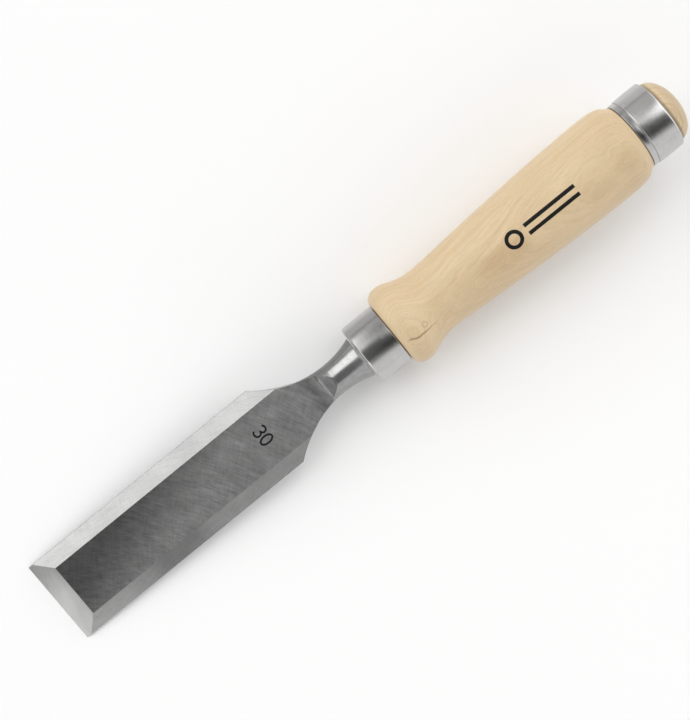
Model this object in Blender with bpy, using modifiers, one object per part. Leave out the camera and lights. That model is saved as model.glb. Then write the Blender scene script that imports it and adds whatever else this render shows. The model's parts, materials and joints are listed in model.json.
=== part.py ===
"""A bevel-edged bench chisel, lying at rest on its cutting edge and on the bead of its handle.

Every piece is shaped in the tool's own frame. X runs along the handle's axis towards the
striking end and is 0 at the handle's front face. Y runs across the blade. Z is up, away
from the flat back. The pieces hang from one empty, which lays the tool down.
"""

import math

import bmesh
import bpy
from mathutils import Matrix, Vector
from mathutils.geometry import interpolate_bezier

MM = 0.001

# Blade: the parallel part, with its ground faces.
BLADE_WIDTH = 30.0 * MM
BLADE_LENGTH = 91.6 * MM
HEEL_THICKNESS = 3.4 * MM
SHOULDER_THICKNESS = 4.0 * MM
BACK_DROP = 3.0 * MM
EDGE_BEVEL = math.radians(25.0)
EDGE_LAND = 0.05 * MM
SIDE_BEVEL = math.radians(25.0)
SIDE_BEVEL_WIDTH = 5.35 * MM

# Neck and bolster: round, with the narrowest place between two long curves.
SHOULDER_TO_HANDLE = 49.0 * MM
NECK_RADIUS = 5.57 * MM
NECK_TO_HANDLE = 24.0 * MM
BOLSTER_RADIUS = 7.6 * MM

# The top is hollow ground from the blade up to the neck, and ends in a step and a facet.
# Starts and ends are distances in front of the narrowest place of the neck.
TOP_HOLLOW_START = 13.0 * MM
TOP_HOLLOW_END = 4.6 * MM
TOP_HOLLOW_RISE = 1.7 * MM
STEP_LENGTH = 0.9 * MM
STEP_RISE = 1.2 * MM
FACET_PAST_NECK = 0.2 * MM
BACK_HOLLOW_START = 14.0 * MM
BACK_HOLLOW_END = 2.0 * MM

# The forging, which is thicker than the ground blade. Its plate ends in a tongue in the neck.
BACK_STOCK = 0.5 * MM
TOP_STOCK = 0.8 * MM
TONGUE_END = 6.0 * MM
NECK_SKIN = 0.02 * MM

# Tang: a square taper that is driven into the handle.
TANG_LENGTH = 62.0 * MM
TANG_ROOT = 8.0 * MM
TANG_TIP = 4.0 * MM

# Ferrule: a drawn cup whose floor faces the bolster.
FERRULE_RADIUS = 11.05 * MM
FERRULE_LENGTH = 12.2 * MM
FERRULE_WALL = 1.0 * MM
FERRULE_ROUNDING = 1.1 * MM

# Handle: bead, waist, belly and domed striking end.
HANDLE_LENGTH = 119.65 * MM
HANDLE_PROUD = 0.05 * MM
BEAD_RADIUS = 14.65 * MM
BEAD_PLACE = 4.45 * MM
WAIST_RADIUS = 11.72 * MM
WAIST_PLACE = 18.5 * MM
BELLY_RADIUS = 14.95 * MM
BELLY_TO_SHOULDER = 10.7 * MM
# How far each end of a swelling keeps to its own direction, and how steeply the last one ends.
BEAD_EASE = 4.55 * MM
WAIST_EASE_FRONT = 9.1 * MM
WAIST_EASE_REAR = 3.0 * MM
BELLY_EASE = 29.4 * MM
BELLY_EASE_REAR = 9.6 * MM
SHOULDER_EASE = 2.7 * MM
SHOULDER_SLOPE = math.radians(17.0)
DOME_HEIGHT = 6.7 * MM
DOME_SQUARENESS = 2.05

# Hoop: the ring that keeps the striking end from splitting, with a small lip in front.
HOOP_RADIUS = 12.62 * MM
HOOP_LENGTH = 12.15 * MM
HOOP_WALL = 1.0 * MM
HOOP_PROUD = 0.43 * MM
HOOP_LIP_WIDTH = 1.95 * MM
HOOP_LIP_DROP = 0.3 * MM
HOOP_GROOVE_WIDTH = 0.2 * MM
HOOP_GROOVE_DEPTH = 0.2 * MM
HOOP_ROUNDING = 0.7 * MM
HOOP_TO_DOME = 0.2 * MM
EDGE_ROUNDING = 0.25 * MM

# Fits, how far cutters and joined shapes run past each other, and resolution.
FIT_GAP = 0.3 * MM
TANG_CLEARANCE = 0.55 * MM
OVERRUN = 5.0 * MM
BEVEL_OVERRUN = 1.0 * MM
BURIED = 2.0 * MM
TURN_STEPS = 64
ARC_STEPS = 5
CURVE_STEPS = 12

# Places along the axis that follow from the sizes above.
SHOULDER_X = -SHOULDER_TO_HANDLE
EDGE_X = SHOULDER_X - BLADE_LENGTH
HEEL_X = EDGE_X + (HEEL_THICKNESS - EDGE_LAND) / math.tan(EDGE_BEVEL)
NECK_X = -NECK_TO_HANDLE
BACK_Z = -BACK_DROP
FERRULE_FRONT_X = -FIT_GAP - FERRULE_LENGTH
BOLSTER_X = FERRULE_FRONT_X - FIT_GAP
TANG_END_X = BOLSTER_X + TANG_LENGTH
DOME_X = HANDLE_LENGTH - DOME_HEIGHT
HOOP_REAR_X = DOME_X - HOOP_TO_DOME
HOOP_FRONT_X = HOOP_REAR_X - HOOP_LENGTH
HANDLE_SHOULDER_X = HOOP_FRONT_X - FIT_GAP
BELLY_X = HANDLE_SHOULDER_X - BELLY_TO_SHOULDER
FERRULE_HOLE_RADIUS = TANG_ROOT / math.sqrt(2.0) + TANG_CLEARANCE
FRONT_TENON_RADIUS = FERRULE_RADIUS - FERRULE_WALL - FIT_GAP
FRONT_TENON_X = FERRULE_FRONT_X + FERRULE_WALL + FIT_GAP
REAR_TENON_RADIUS = HOOP_RADIUS - HOOP_WALL - FIT_GAP


def clear_scene():
    """Start from an empty scene with a collection for the tool and one for its cutters."""
    for obj in list(bpy.data.objects):
        bpy.data.objects.remove(obj)
    found = []
    for name in ("bench_chisel", "cutters"):
        collection = bpy.data.collections.new(name)
        bpy.context.scene.collection.children.link(collection)
        found.append(collection)
    return found


def finish(name, colour, roughness, metallic):
    """A plain surface finish."""
    material = bpy.data.materials.new(name)
    material.use_nodes = True
    surface = material.node_tree.nodes["Principled BSDF"]
    surface.inputs["Base Color"].default_value = (*colour, 1.0)
    surface.inputs["Roughness"].default_value = roughness
    surface.inputs["Metallic"].default_value = metallic
    return material


def arc(centre, radius, start, end, steps=ARC_STEPS):
    """Points on a circle between two angles in degrees, as (across, along) pairs."""
    found = []
    for i in range(steps + 1):
        angle = math.radians(start + (end - start) * i / steps)
        found.append((centre[0] + radius * math.cos(angle), centre[1] + radius * math.sin(angle)))
    return found


def tangent_rise(run, rise, steps=CURVE_STEPS):
    """(run, rise) points of a circle that starts level at (0, 0) and ends at (run, rise)."""
    radius = (run * run + rise * rise) / (2.0 * rise)
    reach = math.asin(run / radius)
    found = []
    for i in range(steps + 1):
        angle = reach * i / steps
        found.append((radius * math.sin(angle), radius * (1.0 - math.cos(angle))))
    return found


def shoulder_curve():
    """(x, half width) from the narrowest place of the neck forward to the blade's shoulder."""
    rise = tangent_rise(NECK_X - SHOULDER_X, BLADE_WIDTH / 2.0 - NECK_RADIUS, 2 * CURVE_STEPS)
    return [(NECK_X - run, NECK_RADIUS + up) for run, up in rise]


def hide_as_cutter(obj):
    obj.hide_render = True
    obj.display_type = "WIRE"


def turned(name, outline, collection, rest, closed):
    """A solid turned about the tool's axis. The outline holds (radius, x) pairs, rear to front
    down the outer side. A closed outline makes a ring."""
    mesh = bpy.data.meshes.new(name)
    bm = bmesh.new()
    points = [bm.verts.new((radius, 0.0, along)) for radius, along in outline]
    for one, other in zip(points, points[1:]):
        bm.edges.new((one, other))
    if closed:
        bm.edges.new((points[-1], points[0]))
    bm.to_mesh(mesh)
    bm.free()
    obj = bpy.data.objects.new(name, mesh)
    collection.objects.link(obj)
    obj.parent = rest
    obj.rotation_euler = (0.0, math.radians(90.0), 0.0)
    screw = obj.modifiers.new("turn", "SCREW")
    screw.steps = TURN_STEPS
    screw.render_steps = TURN_STEPS
    screw.use_merge_vertices = not closed
    screw.merge_threshold = 0.00001
    screw.use_smooth_shade = True
    return obj


def plate(name, outline, thickness, collection, rest, rotation=(0.0, 0.0, 0.0), place=(0.0, 0.0, 0.0)):
    """A flat outline given its thickness, half to each side, as a mesh."""
    curve = bpy.data.curves.new(name, "CURVE")
    curve.dimensions = "2D"
    curve.fill_mode = "BOTH"
    curve.extrude = thickness / 2.0
    spline = curve.splines.new("POLY")
    spline.points.add(len(outline) - 1)
    for point, (x, y) in zip(spline.points, outline):
        point.co = (x, y, 0.0, 1.0)
    spline.use_cyclic_u = True
    flat = bpy.data.objects.new(name + "_outline", curve)
    collection.objects.link(flat)
    bpy.context.view_layer.update()
    mesh = bpy.data.meshes.new_from_object(flat.evaluated_get(bpy.context.evaluated_depsgraph_get()))
    bpy.data.objects.remove(flat)
    bm = bmesh.new()
    bm.from_mesh(mesh)
    bmesh.ops.remove_doubles(bm, verts=bm.verts, dist=0.001 * MM)
    bmesh.ops.recalc_face_normals(bm, faces=bm.faces)
    bm.to_mesh(mesh)
    bm.free()
    mesh.name = name
    obj = bpy.data.objects.new(name, mesh)
    collection.objects.link(obj)
    obj.parent = rest
    obj.rotation_euler = rotation
    obj.location = place
    return obj


def square_taper(name, root, tip, start_x, end_x, collection, rest):
    """A square taper along the axis, from the side `root` at start_x to the side `tip` at end_x."""
    mesh = bpy.data.meshes.new(name)
    bm = bmesh.new()
    bmesh.ops.create_cone(
        bm,
        cap_ends=True,
        segments=4,
        radius1=root / math.sqrt(2.0),
        radius2=tip / math.sqrt(2.0),
        depth=end_x - start_x,
        matrix=Matrix.Rotation(math.radians(45.0), 4, "Z"),
    )
    bm.to_mesh(mesh)
    bm.free()
    obj = bpy.data.objects.new(name, mesh)
    collection.objects.link(obj)
    obj.parent = rest
    obj.rotation_euler = (0.0, math.radians(90.0), 0.0)
    obj.location = ((start_x + end_x) / 2.0, 0.0, 0.0)
    hide_as_cutter(obj)
    return obj


def combine(target, other, operation):
    boolean = target.modifiers.new(other.name, "BOOLEAN")
    boolean.operation = operation
    boolean.solver = "EXACT"
    boolean.object = other
    hide_as_cutter(other)


def tang_side(x):
    """Side of the square tang at x, on the straight taper from its root to its tip."""
    share = (x - BOLSTER_X) / TANG_LENGTH
    return TANG_ROOT + (TANG_TIP - TANG_ROOT) * share


def top_z(x):
    """Height of the blade's flat top, which thickens from the heel to the shoulder."""
    slope = (SHOULDER_THICKNESS - HEEL_THICKNESS) / (SHOULDER_X - HEEL_X)
    return BACK_Z + HEEL_THICKNESS + slope * (x - HEEL_X)


def make_forging(cutters, collection, rest):
    """The blade before grinding: a flat plate whose tongue runs into the round neck."""
    plate_low = BACK_Z - BACK_STOCK
    plate_high = top_z(NECK_X) + TOP_STOCK
    depth = max(-plate_low, plate_high)
    tongue_start = NECK_X - BACK_HOLLOW_START
    tongue_end = NECK_X - TONGUE_END
    curve = shoulder_curve()
    shoulders = [point for point in curve if point[0] < tongue_start]
    tongue_radius = min(curve, key=lambda point: abs(point[0] - tongue_end))[1]
    tongue_half = math.sqrt(tongue_radius**2 - depth**2) - FIT_GAP
    side = [(tongue_end, tongue_half)] + shoulders + [(EDGE_X, BLADE_WIDTH / 2.0)]
    outline = side + [(x, -half) for x, half in reversed(side)]
    blade = plate(
        "blade",
        outline,
        plate_high - plate_low,
        collection,
        rest,
        place=(0.0, 0.0, (plate_high + plate_low) / 2.0),
    )

    flare = tangent_rise(BOLSTER_X - NECK_X, BOLSTER_RADIUS - NECK_RADIUS)
    profile = [(0.0, BOLSTER_X), (BOLSTER_RADIUS - EDGE_ROUNDING, BOLSTER_X)]
    profile += [(NECK_RADIUS + up, NECK_X + run) for run, up in reversed(flare[1:-1])]
    profile += [(half - NECK_SKIN, x) for x, half in curve if x > tongue_start]
    profile.append((0.0, tongue_start - OVERRUN))
    neck = turned("neck_blank", profile, cutters, rest, closed=False)
    combine(blade, neck, "UNION")
    return blade


def grinding_cutter(name, outline, cutters, rest):
    """A cutter drawn in the tool's side view, as (x, z) pairs, and wider than the blade."""
    width = BLADE_WIDTH + 2.0 * OVERRUN
    return plate(name, outline, width, cutters, rest, rotation=(math.radians(90.0), 0.0, 0.0))


def make_blade(cutters, collection, rest):
    blade = make_forging(cutters, collection, rest)
    clear = BOLSTER_RADIUS + OVERRUN
    front = EDGE_X - OVERRUN

    hollow_x = NECK_X - TOP_HOLLOW_START
    hollow = tangent_rise(TOP_HOLLOW_START - TOP_HOLLOW_END, TOP_HOLLOW_RISE)
    top = [(front, top_z(front))]
    top += [(hollow_x + run, top_z(hollow_x) + up) for run, up in hollow]
    step = (top[-1][0] + STEP_LENGTH, top[-1][1] + STEP_RISE)
    facet_end = (NECK_X + FACET_PAST_NECK, NECK_RADIUS)
    facet_slope = (facet_end[1] - step[1]) / (facet_end[0] - step[0])
    top += [step, (step[0] + (clear - step[1]) / facet_slope, clear), (front, clear)]
    combine(blade, grinding_cutter("top_grinding", top, cutters, rest), "DIFFERENCE")

    back_x = NECK_X - BACK_HOLLOW_START
    back_drop = NECK_RADIUS + FIT_GAP + BACK_Z
    curve = tangent_rise(BACK_HOLLOW_START - BACK_HOLLOW_END, back_drop)
    back = [(front, BACK_Z)] + [(back_x + run, BACK_Z - down) for run, down in curve]
    back += [(back[-1][0], -clear), (front, -clear)]
    combine(blade, grinding_cutter("back_grinding", back, cutters, rest), "DIFFERENCE")

    ridge_y = BLADE_WIDTH / 2.0 - SIDE_BEVEL_WIDTH
    inner = BEVEL_OVERRUN
    outer = SIDE_BEVEL_WIDTH + OVERRUN
    taper = math.atan((top_z(SHOULDER_X) - top_z(EDGE_X)) / BLADE_LENGTH)
    for name, side in (("left_bevel", 1.0), ("right_bevel", -1.0)):
        outline = [
            (side * (ridge_y - inner), inner * math.tan(SIDE_BEVEL)),
            (side * (ridge_y + outer), -outer * math.tan(SIDE_BEVEL)),
            (side * (ridge_y + outer), clear),
            (side * (ridge_y - inner), clear),
        ]
        length = BLADE_LENGTH + 2.0 * TOP_HOLLOW_START
        cutter = plate(name, outline, length, cutters, rest)
        across = Matrix.Rotation(-taper, 4, "Y") @ Matrix(((0, 0, 1), (1, 0, 0), (0, 1, 0))).to_4x4()
        middle_x = (EDGE_X + SHOULDER_X) / 2.0
        cutter.matrix_local = Matrix.Translation((middle_x, 0.0, top_z(middle_x))) @ across
        combine(blade, cutter, "DIFFERENCE")

    below = BEVEL_OVERRUN
    edge = [
        (EDGE_X - below / math.tan(EDGE_BEVEL), BACK_Z + EDGE_LAND - below),
        (EDGE_X + clear / math.tan(EDGE_BEVEL), BACK_Z + EDGE_LAND + clear),
        (front, BACK_Z + EDGE_LAND + clear),
        (front, BACK_Z + EDGE_LAND - below),
    ]
    combine(blade, grinding_cutter("edge_bevel", edge, cutters, rest), "DIFFERENCE")

    root_x = BOLSTER_X - BURIED
    tang = square_taper("tang_blank", tang_side(root_x), TANG_TIP, root_x, TANG_END_X, cutters, rest)
    combine(blade, tang, "UNION")
    return blade


def make_ferrule(collection, rest):
    rounding = FERRULE_ROUNDING
    inner = FERRULE_RADIUS - FERRULE_WALL
    floor_x = FERRULE_FRONT_X + FERRULE_WALL
    outline = [(inner, -FIT_GAP)]
    outline += arc((FERRULE_RADIUS - EDGE_ROUNDING, -FIT_GAP - EDGE_ROUNDING), EDGE_ROUNDING, 90.0, 0.0, 2)
    outline += arc((FERRULE_RADIUS - rounding, FERRULE_FRONT_X + rounding), rounding, 0.0, -90.0)
    outline += [(FERRULE_HOLE_RADIUS, FERRULE_FRONT_X), (FERRULE_HOLE_RADIUS, floor_x), (inner, floor_x)]
    return turned("ferrule", outline, collection, rest, closed=True)


def make_hoop(collection, rest):
    inner = HOOP_RADIUS - HOOP_WALL
    lip_radius = HOOP_RADIUS - HOOP_LIP_DROP
    groove_radius = lip_radius - HOOP_GROOVE_DEPTH
    lip_end = HOOP_FRONT_X + HOOP_LIP_WIDTH
    outline = [(inner, HOOP_REAR_X)]
    outline += arc((HOOP_RADIUS - HOOP_ROUNDING, HOOP_REAR_X - HOOP_ROUNDING), HOOP_ROUNDING, 90.0, 0.0)
    shoulder = lip_end + HOOP_GROOVE_WIDTH + EDGE_ROUNDING
    outline += arc((HOOP_RADIUS - EDGE_ROUNDING, shoulder), EDGE_ROUNDING, 0.0, -90.0, 3)
    outline += [(groove_radius, lip_end + HOOP_GROOVE_WIDTH), (groove_radius, lip_end)]
    outline += arc((lip_radius - EDGE_ROUNDING, lip_end - EDGE_ROUNDING), EDGE_ROUNDING, 90.0, 0.0, 3)
    outline += arc((lip_radius - EDGE_ROUNDING, HOOP_FRONT_X + EDGE_ROUNDING), EDGE_ROUNDING, 0.0, -90.0, 3)
    outline.append((inner, HOOP_FRONT_X))
    return turned("hoop", outline, collection, rest, closed=True)


def swelling(start, start_ease, end, end_ease, steps, slope=0.0):
    """(radius, x) points of a stretch that starts level with the axis and falls by the angle
    `slope` at its end."""
    found = interpolate_bezier(
        Vector((start[0], start[1], 0.0)),
        Vector((start[0], start[1] + start_ease, 0.0)),
        Vector((end[0] + end_ease * math.sin(slope), end[1] - end_ease * math.cos(slope), 0.0)),
        Vector((end[0], end[1], 0.0)),
        steps + 1,
    )
    return [(point.x, point.y) for point in found]


def handle_outline():
    """The grip's (radius, x) pairs, front to rear, from the ferrule to the hoop."""
    start = FERRULE_RADIUS + HANDLE_PROUD
    outline = []
    for i in range(CURVE_STEPS // 2):
        angle = math.radians(90.0) * i / (CURVE_STEPS // 2)
        rise = (BEAD_RADIUS - start) * math.sin(angle)
        outline.append((start + rise, BEAD_PLACE * (1.0 - math.cos(angle))))
    bead = (BEAD_RADIUS, BEAD_PLACE)
    waist = (WAIST_RADIUS, WAIST_PLACE)
    belly = (BELLY_RADIUS, BELLY_X)
    end = (HOOP_RADIUS - HOOP_PROUD, HANDLE_SHOULDER_X)
    outline += swelling(bead, BEAD_EASE, waist, WAIST_EASE_FRONT, CURVE_STEPS)
    outline += swelling(waist, WAIST_EASE_REAR, belly, BELLY_EASE, CURVE_STEPS)[1:]
    outline += swelling(belly, BELLY_EASE_REAR, end, SHOULDER_EASE, CURVE_STEPS, SHOULDER_SLOPE)[1:]
    return outline


def dome_outline():
    """The striking end's (radius, x) pairs, from the axis out to the hoop's tenon."""
    outline = []
    for i in range(CURVE_STEPS + 1):
        angle = math.radians(90.0) * i / CURVE_STEPS
        across = REAR_TENON_RADIUS * math.sin(angle) ** (2.0 / DOME_SQUARENESS)
        along = DOME_HEIGHT * abs(math.cos(angle)) ** (2.0 / DOME_SQUARENESS)
        outline.append((across, DOME_X + along))
    return outline


def make_handle(cutters, collection, rest):
    outline = dome_outline()
    outline.append((REAR_TENON_RADIUS, HANDLE_SHOULDER_X))
    outline += reversed(handle_outline())
    outline += [(FRONT_TENON_RADIUS, 0.0), (FRONT_TENON_RADIUS, FRONT_TENON_X), (0.0, FRONT_TENON_X)]
    handle = turned("handle", outline, collection, rest, closed=False)
    mouth_x = FRONT_TENON_X - BURIED
    depth_x = TANG_END_X + FIT_GAP
    hole = square_taper(
        "tang_hole",
        tang_side(mouth_x) + 2.0 * FIT_GAP,
        tang_side(depth_x) + 2.0 * FIT_GAP,
        mouth_x,
        depth_x,
        cutters,
        rest,
    )
    combine(handle, hole, "DIFFERENCE")
    return handle


def lay_down(rest):
    """Tilt the tool until its cutting edge and its handle touch Z = 0, and centre it there."""
    profile = handle_outline() + dome_outline()
    tilt = max(math.atan2(radius + BACK_Z, x - EDGE_X) for radius, x in profile)
    turn = Matrix.Rotation(-tilt, 4, "Y")
    rear = max((turn @ Vector((x, 0.0, radius * side))).x for radius, x in profile for side in (-1.0, 1.0))
    low_edge = turn @ Vector((EDGE_X, 0.0, BACK_Z))
    high_edge = turn @ Vector((EDGE_X, 0.0, BACK_Z + EDGE_LAND))
    front = min(low_edge.x, high_edge.x)
    rest.rotation_euler = (0.0, -tilt, 0.0)
    rest.location = (-(front + rear) / 2.0, 0.0, -low_edge.z)


def main():
    collection, cutters = clear_scene()
    rest = bpy.data.objects.new("rest", None)
    collection.objects.link(rest)
    finishes = {
        "blade": finish("ground_steel", (0.30, 0.30, 0.29), 0.32, 1.0),
        "ferrule": finish("ferrule_steel", (0.62, 0.61, 0.59), 0.30, 1.0),
        "hoop": finish("hoop_steel", (0.62, 0.61, 0.59), 0.28, 1.0),
        "handle": finish("pale_wood", (0.70, 0.51, 0.31), 0.45, 0.0),
    }
    made = {
        "blade": make_blade(cutters, collection, rest),
        "ferrule": make_ferrule(collection, rest),
        "hoop": make_hoop(collection, rest),
        "handle": make_handle(cutters, collection, rest),
    }
    for name, obj in made.items():
        obj.data.materials.append(finishes[name])
    lay_down(rest)
    bpy.context.view_layer.update()


main()
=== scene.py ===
"""A bevel-edged bench chisel on a pale floor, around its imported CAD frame.

Every piece is shaped in the tool's own frame and then laid where the CAD tool lies. In that
frame X runs along the handle's axis towards the striking end and is 0 at the handle's
front face, Y runs across the blade, and Z is up, away from the flat back.
"""

import json
import math

import bmesh
import bpy
from mathutils import Matrix, Vector
from mathutils.geometry import interpolate_bezier


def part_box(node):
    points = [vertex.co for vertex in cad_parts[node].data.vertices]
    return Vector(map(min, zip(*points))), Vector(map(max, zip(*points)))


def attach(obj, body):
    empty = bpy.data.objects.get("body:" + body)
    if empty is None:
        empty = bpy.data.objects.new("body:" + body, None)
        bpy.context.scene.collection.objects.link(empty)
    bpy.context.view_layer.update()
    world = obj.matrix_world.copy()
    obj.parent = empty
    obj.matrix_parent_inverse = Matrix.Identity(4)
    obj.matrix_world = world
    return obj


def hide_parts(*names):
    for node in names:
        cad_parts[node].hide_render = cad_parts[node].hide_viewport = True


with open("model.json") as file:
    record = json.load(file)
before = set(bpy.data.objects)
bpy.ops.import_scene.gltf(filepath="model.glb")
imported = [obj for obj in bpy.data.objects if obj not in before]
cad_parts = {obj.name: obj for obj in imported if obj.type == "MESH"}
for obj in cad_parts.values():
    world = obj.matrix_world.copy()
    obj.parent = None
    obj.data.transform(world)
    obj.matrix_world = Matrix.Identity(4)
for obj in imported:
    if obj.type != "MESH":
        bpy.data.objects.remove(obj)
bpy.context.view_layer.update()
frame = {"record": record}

MM = 0.001


def cad_size(node, axis):
    """Size of a CAD node along one axis, in mm."""
    low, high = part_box(node)
    return (high[axis] - low[axis]) / MM


# How far the fine surfaces of turned pieces stay inside the CAD solids, in mm.
SKIN = 0.03

# Sizes in mm. Widths and radii across the tool come from the CAD pieces.
BLADE_WIDTH = cad_size("blade", 1)
FERRULE_RADIUS = cad_size("ferrule", 1) / 2.0 - SKIN
HOOP_RADIUS = cad_size("hoop", 1) / 2.0 - SKIN
BELLY_RADIUS = cad_size("handle", 1) / 2.0 - SKIN

BLADE_LENGTH = 91.6
HEEL_THICKNESS = 3.4
SHOULDER_THICKNESS = 4.0
BACK_DROP = 3.0
BEVEL_ANGLE = math.radians(25.0)
EDGE_LAND = 0.05
SIDE_BEVEL_WIDTH = 5.35
SHOULDER_TO_HANDLE = 49.0
NECK_RADIUS = 5.57
NECK_TO_HANDLE = 24.0
BOLSTER_RADIUS = 7.6

TOP_HOLLOW_START = 13.0
TOP_HOLLOW_END = 4.6
TOP_HOLLOW_RISE = 1.7
STEP_LENGTH = 0.9
STEP_RISE = 1.2
FACET_PAST_NECK = 0.2
BACK_HOLLOW_START = 14.0
BACK_HOLLOW_END = 2.0

# The forging before grinding: spare thickness on the back and the top of its plate, how far
# the plate's tongue reaches into the neck, and how deep the neck's skin lies under the plate's.
BACK_STOCK = 0.5
TOP_STOCK = 0.8
TONGUE_END = 6.0
NECK_SKIN = 0.02

FERRULE_LENGTH = 12.2
FERRULE_WALL = 1.0
FERRULE_HOLE_RADIUS = 6.2
FERRULE_ROUNDING = 1.1

HANDLE_LENGTH = 119.65 - SKIN
HANDLE_PROUD = 0.05
BEAD_RADIUS = 14.65 - SKIN
BEAD_PLACE = 4.45
WAIST_RADIUS = 11.72
WAIST_PLACE = 18.5
BELLY_TO_SHOULDER = 10.7
BEAD_EASE = 4.55
WAIST_EASE_FRONT = 9.1
WAIST_EASE_REAR = 3.0
BELLY_EASE = 29.4
BELLY_EASE_REAR = 9.6
SHOULDER_EASE = 2.7
SHOULDER_SLOPE = math.radians(17.0)
DOME_HEIGHT = 6.7
DOME_SQUARENESS = 2.05

HOOP_TO_DOME = 0.2
HOOP_LENGTH = 12.15
HOOP_WALL = 1.0
HOOP_PROUD = 0.43
HOOP_LIP_WIDTH = 1.95
HOOP_LIP_DROP = 0.3
HOOP_GROOVE_WIDTH = 0.2
HOOP_GROOVE_DEPTH = 0.2
HOOP_ROUNDING = 0.7
HOOP_CROWN = 0.09
LIP_CROWN = 0.02
EDGE_ROUNDING = 0.25
RIDGE_ROUNDING = 0.14

FIT_GAP = 0.3
OVERRUN = 5.0
BEVEL_OVERRUN = 1.0
# Points nearer than these are merged: everywhere, and after the blade's ridges are broken.
MERGE = 0.0005
SLIVER = 0.002
TURN_STEPS = 192
CURVE_STEPS = 40
ARC_STEPS = 8

# Places along the axis that follow.
SHOULDER_X = -SHOULDER_TO_HANDLE
EDGE_X = SHOULDER_X - BLADE_LENGTH
HEEL_X = EDGE_X + (HEEL_THICKNESS - EDGE_LAND) / math.tan(BEVEL_ANGLE)
NECK_X = -NECK_TO_HANDLE
BACK_Z = -BACK_DROP
FERRULE_FRONT_X = -FIT_GAP - FERRULE_LENGTH
BOLSTER_X = FERRULE_FRONT_X - FIT_GAP
DOME_X = HANDLE_LENGTH - DOME_HEIGHT
HOOP_REAR_X = DOME_X - HOOP_TO_DOME
HOOP_FRONT_X = HOOP_REAR_X - HOOP_LENGTH
HANDLE_SHOULDER_X = HOOP_FRONT_X - FIT_GAP
BELLY_X = HANDLE_SHOULDER_X - BELLY_TO_SHOULDER
FRONT_TENON_RADIUS = FERRULE_RADIUS - FERRULE_WALL - FIT_GAP
FRONT_TENON_X = FERRULE_FRONT_X + FERRULE_WALL + FIT_GAP
REAR_TENON_RADIUS = HOOP_RADIUS - HOOP_WALL - FIT_GAP
RIDGE_Y = BLADE_WIDTH / 2.0 - SIDE_BEVEL_WIDTH


def tool_place():
    """The matrix from the tool's own frame, in mm, to the row frame: the record's face on the
    flat back gives how far the tool tilts and where the middle of that face lies."""
    back = next(mount for mount in frame["record"]["mounts"] if mount["name"] == "blade_back")
    tilt = math.atan2(back["axis"][0], -back["axis"][2])
    turn = Matrix.Rotation(-tilt, 4, "Y")
    middle = Vector(((EDGE_X + SHOULDER_X) / 2.0, 0.0, BACK_Z)) * MM
    shift = Matrix.Translation(Vector(back["pos_m"]) - turn @ middle)
    return shift @ turn @ Matrix.Scale(MM, 4)


PLACE = tool_place()


# ---------------------------------------------------------------- shader maths


class Value:
    """A socket of a node tree. Arithmetic on it adds Math nodes."""

    def __init__(self, tree, socket):
        self.tree = tree
        self.socket = socket

    def math(self, operation, *others):
        node = self.tree.nodes.new("ShaderNodeMath")
        node.operation = operation
        for slot, value in zip(node.inputs, (self, *others)):
            connect(self.tree, slot, value)
        return Value(self.tree, node.outputs[0])

    def __add__(self, other):
        return self.math("ADD", other)

    __radd__ = __add__

    def __sub__(self, other):
        return self.math("SUBTRACT", other)

    def __rsub__(self, other):
        return (self * -1.0) + other

    def __mul__(self, other):
        return self.math("MULTIPLY", other)

    __rmul__ = __mul__

    def __truediv__(self, other):
        return self.math("DIVIDE", other)

    def __pow__(self, other):
        return self.math("POWER", other)

    def abs(self):
        return self.math("ABSOLUTE")

    def most(self, other):
        return self.math("MAXIMUM", other)


def connect(tree, slot, value):
    """Link a Value to a socket, or set the socket to a number, colour or vector."""
    if isinstance(value, Value):
        tree.links.new(value.socket, slot)
    else:
        slot.default_value = value


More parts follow.
